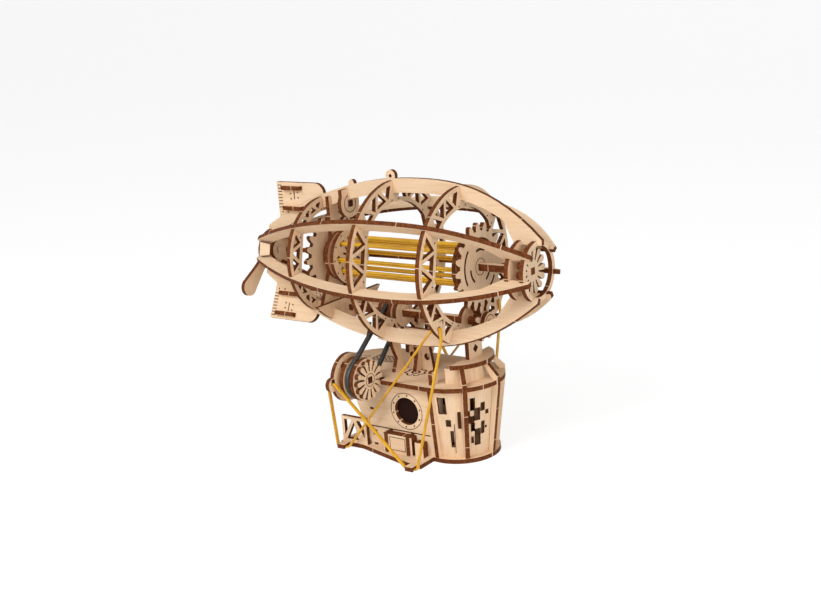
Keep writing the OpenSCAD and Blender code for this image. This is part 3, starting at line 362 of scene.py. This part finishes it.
# Tail fins: plywood fins on the top rib and on the two bottom ribs, with cross slats through them.
# A scale of ticks, a centre line and rivet dots are burnt into both faces of each fin.
dress(rib_ply, "tail_fins")
dress(round_ply, "fin_slats")
fin_rear, fin_tip, fin_half = -69 * mm, 33.2 * mm, 1 * mm
scale_count, scale_pitch, scale_from, scale_to, scale_width = 8, 1.5 * mm, 0.4 * mm, 2.9 * mm, 0.4 * mm
line_from_rear, line_top, line_foot, line_width = 10.4 * mm, 3.9 * mm, 8 * mm, 0.5 * mm
fin_rivet_radius = 0.42 * mm
# Each rivet: how far forward of the centre line it is, and how far below the tip.
fin_rivets = ((2.2, 4.6), (-2.2, 5.4), (2.2, 7.2), (-2.2, 7.8), (-8.2, 14.2), (-4.6, 14.2))
fin_marks = bmesh.new()
for fin_angle in (rib_angles[0], rib_angles[3], rib_angles[4]):
    fin_out = out_at(fin_angle)
    for side in (-1, 1):
        fin_face = Vector((0, -math.sin(fin_angle), math.cos(fin_angle))) * side
        fin_corner = axis_point + fin_face * fin_half + fin_out * fin_tip + forward * fin_rear
        for k in range(scale_count):
            tick_at = fin_corner - fin_out * (scale_pitch * (k + 1))
            burn_line(fin_marks, tick_at + forward * scale_from, tick_at + forward * scale_to, fin_face,
                      scale_width)
        line_at = fin_corner + forward * line_from_rear
        burn_line(fin_marks, line_at - fin_out * line_top, line_at - fin_out * line_foot, fin_face,
                  line_width)
        for rivet_x, rivet_drop in fin_rivets:
            rivet_at = line_at + forward * (rivet_x * mm) - fin_out * (rivet_drop * mm)
            burn_dot(fin_marks, rivet_at, fin_face, fin_rivet_radius)
make_piece(fin_marks, "fin_scale_marks", scorch, "hull")


# Rotor: two lengths of square shaft with their bushes, gears, band discs and the petalled nose wheel.
# All are laser-cut plywood; the shaft has burnt sides and pale top and bottom, the discs have burnt spokes
# and rivets, and the slits of the front gear have burnt rims.
dress(cross_ply, "shaft_bushes", "rear_gear", "plain_disc", "rear_band_disc", "front_band_disc", "front_gear",
      "nose_wheel")
upright, to_port = Vector((0, 0, 1)), Vector((0, 1, 0))
shaft_ply = birch_sheet("ply_shaft", square_to(upright), lengthwise, forward, 19 * mm)
dress(shaft_ply, "main_shaft", "layshaft")
spoke_count, spoke_first, spoke_in, spoke_out, spoke_width = 12, 8, 3.8 * mm, 6.2 * mm, 0.9 * mm
disc_rivet_out, disc_rivet_radius = 12 * mm, 0.4 * mm
hub_ring, hub_line, slit_rim = 3.6 * mm, 0.3 * mm, 1.05 * mm
rotor_marks = bmesh.new()
front_disc_back, rear_disc_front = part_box("front_band_disc")[0].x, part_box("rear_band_disc")[1].x
for face_x, face_way in ((front_disc_back, -forward), (rear_disc_front, forward)):
    disc_middle = Vector((face_x, 0, axis_height))
    for k in range(spoke_count):
        spoke = out_at(math.radians(spoke_first + 360 / spoke_count * k))
        burn_line(rotor_marks, disc_middle + spoke * spoke_in, disc_middle + spoke * spoke_out, face_way,
                  spoke_width)
for k in range(spoke_count):
    rivet_way = out_at(math.radians(360 / spoke_count * k))
    rivet_at = Vector((rear_disc_front, 0, axis_height)) + rivet_way * disc_rivet_out
    burn_dot(rotor_marks, rivet_at, forward, disc_rivet_radius)
gear_middle = Vector((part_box("front_gear")[1].x, 0, axis_height))
burn_ring(rotor_marks, gear_middle, forward, hub_ring, hub_line)
# Each round of slits: how far out it is, the first slit's first angle and its sweep.
for slit_out, slit_begin, slit_sweep in ((12 * mm, 15, 75), (7.5 * mm, 60, 50)):
    for third in (0, 120, 240):
        burn_ring(rotor_marks, gear_middle, forward, slit_out, slit_rim, slit_begin + third, slit_sweep,
                  along=to_port)
make_piece(rotor_marks, "rotor_marks", scorch, "rotor")


# Rubber-band motor: four flat yellow bands, hooked through both band discs and stretched between them.
# Each lies as two turns side by side, thinner where they bend round the disc, and streaked lengthwise.
rubber_roughness, ridge_strength, ridge_depth = 0.42, 0.35, 0.3 * mm


def rubber(name, tone_low, tone_high, streak):
    material, tree, surface = new_material(name)
    place = tree.nodes.new("ShaderNodeTexCoord").outputs
    stretch = add_node(tree, "Mapping", {"Vector": place["Object"], "Scale": streak})
    streaks = add_node(tree, "TexNoise", {
        "Vector": stretch.outputs["Vector"], "Scale": 1.0, "Detail": 3.0}).outputs["Fac"]
    ridges = add_node(tree, "Bump", {"Strength": ridge_strength, "Distance": ridge_depth, "Height": streaks})
    wire(tree, surface, {
        "Base Color": tone_ramp(tree, streaks, (0.3, (*tone_low, 1)), (0.7, (*tone_high, 1))),
        "Normal": ridges.outputs["Normal"],
        "Roughness": rubber_roughness,
    })
    return material


def neighbours(row):
    """Each member of a closed row with the one before it and the one after it."""
    return zip(row[-1:] + row[:-1], row, row[1:] + row[:1])


def rounded_path(corners, radius, steps=6):
    """A closed path through corners, each eased by a short curve."""
    path = []
    for before, at, after in neighbours(corners):
        into, out = before - at, after - at
        begin = at + into.normalized() * min(radius, into.length / 3)
        end = at + out.normalized() * min(radius, out.length / 3)
        for k in range(steps):
            s = k / (steps - 1)
            path.append(begin * (1 - s) ** 2 + at * 2 * s * (1 - s) + end * s ** 2)
    return path


def path_frames(points, width_way):
    """Frames along a closed path: Z runs along it, Y is the band's width."""
    frames = []
    for before, at, after in neighbours(points):
        tangent = (after - before).normalized()
        wide = (width_way - tangent * width_way.dot(tangent)).normalized()
        axes = Matrix((wide.cross(tangent), wide, tangent)).transposed().to_4x4()
        frames.append(Matrix.Translation(at) @ axes)
    return frames


def band_loop(bm, places, thick_at, wide):
    """A closed band of rounded-square section through a row of frames, bridged section by section."""
    squareness = 0.6
    rings = []
    for place in places:
        ring = bmesh.ops.create_circle(bm, segments=12, radius=1)["verts"]
        for v in ring:
            v.co = Vector([math.copysign(abs(c) ** squareness, c) for c in v.co])
        size = Matrix.Diagonal((thick_at(place) / 2, wide / 2, 1, 1))
        bmesh.ops.transform(bm, matrix=place @ size, verts=ring)
        rings.append(ring)
    for a, b in zip(rings, rings[1:] + rings[:1]):
        edges = dict.fromkeys(e for r in (a, b) for v in r for e in v.link_edges if e.other_vert(v) in r)
        bmesh.ops.bridge_loops(bm, edges=list(edges))


def turn_thickness(place):
    """A turn of a motor band is thinner where it runs across the disc."""
    across_disc, more_lengthwise = 0.55 * mm, 0.35 * mm
    return across_disc + more_lengthwise * abs(place.col[2].x)


band_low, band_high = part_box("motor_bands")
band_count, band_first, band_out, turn_wide, turn_round = 4, 20, 8.4 * mm, 1.4 * mm, 0.6 * mm
motor = bmesh.new()
for k in range(band_count):
    band_angle = math.radians(band_first + 360 / band_count * k)
    outward, sideways = out_at(band_angle), out_at(band_angle + math.pi / 2)
    centre = axis_point + outward * band_out
    for apart, inset in ((2.45 * mm, 1.2 * mm), (3.5 * mm, 0.5 * mm)):
        fore, aft = forward * (band_high.x - inset), forward * (band_low.x + inset)
        corners = [centre + fore + sideways * apart, centre + fore - sideways * apart,
                   centre + aft - sideways * apart, centre + aft + sideways * apart]
        band_loop(motor, path_frames(rounded_path(corners, turn_round), outward), turn_thickness, turn_wide)
yellow = rubber("yellow_rubber_motor", (0.62, 0.29, 0.006), (0.86, 0.50, 0.016), (18, 1500, 1500))
motor_piece = make_piece(motor, "motor_rubber", yellow, "rotor", smooth=True)
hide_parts("motor_bands")


# Propeller: a two-bladed paddle of plywood behind the tail, on a short square axle with a collar.
# It turns freely in the tail's end plate.
dress(cross_ply, "propeller", "prop_axle")


# Layshaft: a square plywood shaft below the axis with bushes, the small pinion and the belt's upper pulley.
# A ring is burnt on its front collar. The peg under the top rib has a burnt ring and a burnt square end.
def burn_square(bm, at, normal, side):
    half = upright * (side / 2)
    burn_line(bm, at - half, at + half, normal, side)


dress(cross_ply, "lay_bushes", "pinion", "upper_pulley_core", "upper_pulley_flanges", "upper_peg")
shafts_apart, square_end = 24.5 * mm, 2.9 * mm
lay_height = axis_height - shafts_apart
collar_ring, collar_line = 3.5 * mm, 0.3 * mm
lay_marks = bmesh.new()
burn_ring(lay_marks, (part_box("lay_bushes")[1].x, 0, lay_height), forward, collar_ring, collar_line)
make_piece(lay_marks, "layshaft_marks", scorch, "layshaft_body")
peg_past_plate, peg_ring, peg_line = 0.4 * mm, 4.0 * mm, 0.35 * mm
peg_end = Vector((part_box("upper_peg")[1].x, 0, axis_height + shafts_apart))
peg_marks = bmesh.new()
burn_ring(peg_marks, peg_end - forward * peg_past_plate, forward, peg_ring, peg_line)
burn_square(peg_marks, peg_end, forward, square_end)
make_piece(peg_marks, "upper_peg_marks", scorch, "hull")


# Drive belt: a round black rubber cord, closed into a loop over the upper pulley and the gondola's pulley.
# Its two runs lean to starboard, because the lower pulley stands out beside the roof.
belt_x, belt_thick, arc_steps = -6.15 * mm, 2 * mm, 24
upper_centre, upper_round = Vector((belt_x, 0, lay_height)), 6.0 * mm
lower_centre, lower_round = Vector((belt_x, -28 * mm, 38 * mm)), 8.3 * mm
span = upper_centre - lower_centre
belt_lean = math.atan2(span.z, span.y)
wrap = math.acos((lower_round - upper_round) / math.hypot(span.y, span.z))
belt_path = []
for pulley_centre, pulley_round, arc_from, arc_sweep in (
    (upper_centre, upper_round, belt_lean - wrap, 2 * wrap),
    (lower_centre, lower_round, belt_lean + wrap, 2 * math.pi - 2 * wrap),
):
    for k in range(arc_steps + 1):
        belt_path.append(pulley_centre + out_at(arc_from + arc_sweep * k / arc_steps) * pulley_round)
belt = bmesh.new()
band_loop(belt, path_frames(belt_path, forward), lambda place: belt_thick, belt_thick)
black = rubber("black_rubber_belt", (0.012, 0.012, 0.013), (0.035, 0.034, 0.034), (900, 900, 900))
belt_piece = make_piece(belt, "belt_cord", black, "hull", smooth=True)
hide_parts("drive_belt")


# Gondola pulley: plywood discs glued face to face on a square axle, with a petalled wheel in front.
# Its bracket is a plate behind it, let into the edge of the roof, with an ear for the rigging band.
dress(cross_ply, "lower_pulley_core", "lower_pulley_flange", "lower_petal_flange", "pulley_bracket",
      "pulley_axle")
petal_ring, petal_ring_line = 2.9 * mm, 0.25 * mm
pulley_marks = bmesh.new()
axle_end = Vector((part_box("pulley_axle")[1].x, lower_centre.y, lower_centre.z))
petal_middle = Vector((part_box("lower_petal_flange")[1].x, lower_centre.y, lower_centre.z))
burn_square(pulley_marks, axle_end, forward, square_end)
burn_ring(pulley_marks, petal_middle, forward, petal_ring, petal_ring_line)
make_piece(pulley_marks, "pulley_marks", scorch, "pulley_body")


# Column and front post: plywood plates that stand in the gondola's roof and carry the envelope.
# They have no burnt marks. The column is a keel plate with a plate across it, so it has two face directions.
def square_to_either(limit, inner_normal, outer_normal):
    """For two crossed plates: one sheet normal nearer the centre plane than limit, another beyond it."""
    def facing(tree, place):
        at = add_node(tree, "SeparateXYZ", {0: place["Object"]})
        off = add_node(tree, "Math", {0: at.outputs["Y"]}, "ABSOLUTE")
        beyond = add_node(tree, "Math", {0: off.outputs[0], 1: limit}, "GREATER_THAN")
        inner, outer = square_to(inner_normal)(tree, place), square_to(outer_normal)(tree, place)
        return add_node(tree, "Mix", {0: beyond.outputs[0], 2: inner, 3: outer}).outputs[0]
    return facing


keel_half = 1.06 * mm
column_facing = square_to_either(keel_half, to_port, forward)
column_ply = birch_sheet("ply_column", column_facing, crosswise, upright, 19 * mm)
dress(column_ply, "column")
dress(cross_ply, "front_post")


# Gondola floor, roof and canopy: flat plywood decks with burnt edges; the walls stand between them.
# The roof carries burnt ornament: a framed lattice and a fan behind the belt, a heavy rosette at the column.
def burn_outline(bm, corners, normal, width):
    for start, end in zip(corners, corners[1:] + corners[:1]):
        burn_line(bm, start, end, normal, width)


deck_ply = birch_sheet("ply_deck", square_to(upright), lengthwise, (1, 0.3, 0), 29 * mm)
dress(deck_ply, "floor_plate", "roof_plate", "canopy_plate")
roof_marks = bmesh.new()
roof_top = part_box("roof_plate")[1].z
lattice_x, lattice_y, lattice_border, lattice_line = -23.5 * mm, 1.4 * mm, 0.4 * mm, 0.3 * mm
lattice_mesh, lattice_columns, lattice_rows = 2.5 * mm, 5, 3
lattice_long, lattice_wide = lattice_columns * lattice_mesh, lattice_rows * lattice_mesh
lattice_fore, lattice_port = lattice_x + lattice_long, lattice_y + lattice_wide
burn_outline(roof_marks, [
    (lattice_x, lattice_y, roof_top), (lattice_fore, lattice_y, roof_top),
    (lattice_fore, lattice_port, roof_top), (lattice_x, lattice_port, roof_top),
], upright, lattice_border)
for k in range(1 - lattice_rows, lattice_columns):
    foot = k * lattice_mesh
    reach = max(foot, 0), min(foot + lattice_wide, lattice_long)
    for lean in (-1, 1):
        middle_x = lattice_x + lattice_long / 2
        ends = [(middle_x + lean * (x - lattice_long / 2), lattice_y + x - foot, roof_top) for x in reach]
        burn_line(roof_marks, ends[0], ends[1], upright, lattice_line)
fan = Vector((-27.5 * mm, 0, roof_top))
fan_in, fan_out, fan_from, fan_sweep, fan_rays, fan_line = 2.6 * mm, 5.8 * mm, 80, 200, 9, 0.25 * mm
for fan_radius in (fan_in, fan_out):
    burn_ring(roof_marks, fan, upright, fan_radius, fan_line, fan_from, fan_sweep, along=forward)
for k in range(fan_rays):
    ray_angle = math.radians(fan_from + fan_sweep / (fan_rays - 1) * k)
    ray = Vector((math.cos(ray_angle), math.sin(ray_angle), 0))
    burn_line(roof_marks, fan + ray * fan_in, fan + ray * fan_out, upright, fan_line)
rosette = Vector((8.4 * mm, -6 * mm, roof_top))
rosette_eye, rosette_eye_line = 1.7 * mm, 0.9 * mm
petal_count, petal_out, petal_radius, petal_line, petal_sweep = 7, 3.6 * mm, 1.3 * mm, 0.75 * mm, 200
burn_ring(roof_marks, rosette, upright, rosette_eye, rosette_eye_line)
for k in range(petal_count):
    petal_angle = 360 / petal_count * k
    petal_way = Vector((math.cos(math.radians(petal_angle)), math.sin(math.radians(petal_angle)), 0))
    burn_ring(roof_marks, rosette + petal_way * petal_out, upright, petal_radius, petal_line,
              petal_angle - petal_sweep / 2, petal_sweep, along=forward)
make_piece(roof_marks, "roof_scrolls", scorch, "hull")


# Gondola walls: flat plywood sides with a round porthole each, and a bent veneer front with ribs over it.
# Each side has a burnt ring with rivets round its porthole, a deck line and small hatches; the front has
# burnt patches beside its openings, and double doors with hinges are burnt on the stern plate.
wall_ply = birch_sheet("ply_wall", square_to(to_port), lengthwise, (1, 0, 0.6), 31 * mm)
dress(wall_ply, "starboard_wall", "port_wall", "truss_frames")
dress(cross_ply, "stern_plate", "bulkhead")
cabin_middle = Vector((26.4 * mm, 0, 0))
out_from_cabin = square_to_round(cabin_middle, upright, False)
round_the_cabin = square_to_round(cabin_middle, upright, True)
bent_veneer = birch_sheet("bent_veneer", out_from_cabin, crosswise, upright, 31 * mm)
cabin_rib_ply = birch_sheet("ply_cabin_rib", round_the_cabin, crosswise, upright, 15 * mm)
dress(bent_veneer, "cabin_wall", "collar_wall")
dress(cabin_rib_ply, "cabin_ribs")

wall_out, porthole_x, porthole_z = 17 * mm, 9.8 * mm, 21.2 * mm
porthole_ring, porthole_line = 8.5 * mm, 0.28 * mm
rivet_count, rivet_first, rivet_out, rivet_radius = 10, 12, 7.45 * mm, 0.42 * mm
deck_line_aft, deck_line_fore, deck_line_z, deck_line_width = -14 * mm, 22 * mm, 11.4 * mm, 0.5 * mm
veneer_middle = Vector((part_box("cabin_wall")[0].x, 0, 0))
veneer_foot, veneer_foot_radius, veneer_flare = 2 * mm, 15 * mm, 0.13125
# Each hatch: how far forward it is, foot, head and width. Each patch: angle from the bow, foot, head, width.
hatches = ((-9.1, 7, 9.6, 2.5), (-9, 2.3, 3.3, 2), (-9.9, 19.3, 20.3, 2))
patches = ((41.8, 18.3, 29, 1.0), (37.2, 18.2, 23.8, 1.9), (37, 8.5, 13.8, 1.2), (12, 21, 24, 1.8),
           (13, 14.4, 15.6, 1.2), (55.5, 16.5, 31, 1.5), (63.5, 5, 31, 0.3))
wall_marks = bmesh.new()
for side in (-1, 1):
    wall_y, wall_way = side * wall_out, to_port * side
    porthole = Vector((porthole_x, wall_y, porthole_z))
    burn_ring(wall_marks, porthole, wall_way, porthole_ring, porthole_line)
    for k in range(rivet_count):
        rivet_angle = math.radians(rivet_first + 360 / rivet_count * k)
        rivet_way = Vector((math.cos(rivet_angle), 0, math.sin(rivet_angle)))
        burn_dot(wall_marks, porthole + rivet_way * rivet_out, wall_way, rivet_radius)
    burn_line(wall_marks, (deck_line_aft, wall_y, deck_line_z), (deck_line_fore, wall_y, deck_line_z),
              wall_way, deck_line_width)
    for hatch_x, hatch_foot, hatch_head, hatch_wide in hatches:
        ends = [(hatch_x * mm, wall_y, z * mm) for z in (hatch_foot, hatch_head)]
        burn_line(wall_marks, ends[0], ends[1], wall_way, hatch_wide * mm)
    for patch_angle, patch_foot, patch_head, patch_wide in patches:
        around = math.radians(side * patch_angle)
        out = Vector((math.cos(around), math.sin(around), 0))
        ends = [veneer_middle + out * (veneer_foot_radius + veneer_flare * (z * mm - veneer_foot))
                + upright * (z * mm) for z in (patch_foot, patch_head)]
        burn_line(wall_marks, ends[0], ends[1], out, patch_wide * mm)

# Each line of a door leaf: one end and the other as distance from the middle and height, then its width.
door_lines = (((13.9, 3.6), (13.9, 32.6), 0.35), ((13.9, 32.6), (0, 32.6), 0.35),
              ((0.35, 16), (0.35, 32.6), 0.3), ((13.9, 28), (9, 28), 0.9), ((13.9, 9), (9, 9), 0.9),
              ((7.8, 5.2), (7.8, 15.8), 0.3), ((7.8, 15.8), (0, 15.8), 0.3), ((7.8, 5.2), (0, 5.2), 0.3),
              ((0.35, 3.6), (0.35, 5.2), 0.3))
stern_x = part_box("stern_plate")[0].x
window_y, window_z, window_ring, window_line = 8 * mm, 19.6 * mm, 4.9 * mm, 0.3 * mm
for side in (-1, 1):
    burn_ring(wall_marks, (stern_x, side * window_y, window_z), -forward, window_ring, window_line)
    for line_from, line_to, line_wide in door_lines:
        ends = [(stern_x, side * y * mm, z * mm) for y, z in (line_from, line_to)]
        burn_line(wall_marks, ends[0], ends[1], -forward, line_wide * mm)
make_piece(wall_marks, "wall_marks", scorch, "hull")


# Painted shade behind the portholes: a thin, nearly black disc behind each porthole, at the inside of the
# wall.
# They are no part of the model; they paint the shade of the gondola's inside, so that the portholes look
# deep.
shade_disc_out, shade_disc_radius, shade_disc_thick = 14.6 * mm, 7.6 * mm, 0.6 * mm
porthole_shade = scorched("porthole_shade", (0, (0.014, 0.006, 0.004, 1)), (1, (0.032, 0.012, 0.008, 1)))
# One disc of painted shade for each porthole, nearly black.
shade_discs = bmesh.new()
for side in (-1, 1):
    shade_disc_at = burn_frame((porthole_x, side * shade_disc_out, porthole_z), to_port * side, forward)
    bmesh.ops.create_cone(shade_discs, cap_ends=True, segments=48, radius1=shade_disc_radius, radius2=shade_disc_radius,
                          depth=shade_disc_thick, matrix=shade_disc_at)
make_piece(shade_discs, "porthole_shade_discs", porthole_shade, "hull")


# Cargo: a plywood crate held by two burnt straps, and a small box, on the starboard deck.
# The crate's front has a plain burnt panel line.
dress(wall_ply, "cargo_boxes")
no_pale_face = square_to((0, 0, 0))
strap_ply = birch_sheet("ply_strap", no_pale_face, lengthwise, forward, 19 * mm)
dress(strap_ply, "crate_straps")
crate_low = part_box("cargo_boxes")[0]
panel_aft, panel_fore, panel_foot, panel_head, panel_line = 3.8 * mm, 12.2 * mm, 3.4 * mm, 9.4 * mm, 0.3 * mm
panel = [(crate_low.x + x, crate_low.y, z) for x, z in (
    (panel_aft, panel_foot), (panel_fore, panel_foot), (panel_fore, panel_head), (panel_aft, panel_head))]
cargo_marks = bmesh.new()
burn_outline(cargo_marks, panel, -to_port, panel_line)
make_piece(cargo_marks, "crate_panel_lines", scorch, "hull")


# Rigging: one long yellow rubber band on each side, hooked under the floor's tabs, through the bracket's ear
# and over the rim of the fore ring, so that it crosses itself beside the porthole.
rig_route = ((32.6, 23.4, 64.1), (-21.8, 21.6, 0.6), (-28.2, 21.6, 0.6), (-15.0, 39.4, 38.1),
             (-11.2, 39.4, 38.1), (16.8, 30, 0.6), (23.2, 30, 0.6), (36.2, 23.4, 58.35), (36.2, 23.4, 64.1))
rig_round, rig_thick, rig_wide = 0.9 * mm, 0.86 * mm, 1.75 * mm
rigging = bmesh.new()
for side in (-1, 1):
    corners = [Vector((x * mm, side * y * mm, z * mm)) for x, y, z in rig_route]
    rig_frames = path_frames(rounded_path(corners, rig_round), to_port)
    band_loop(rigging, rig_frames, lambda place: rig_thick, rig_wide)
rig_yellow = rubber("yellow_rubber_rigging", (0.62, 0.29, 0.006), (0.84, 0.46, 0.015), (400, 1500, 60))
rig_piece = make_piece(rigging, "rigging_rubber", rig_yellow, "hull", smooth=True)
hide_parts("rigging_bands")
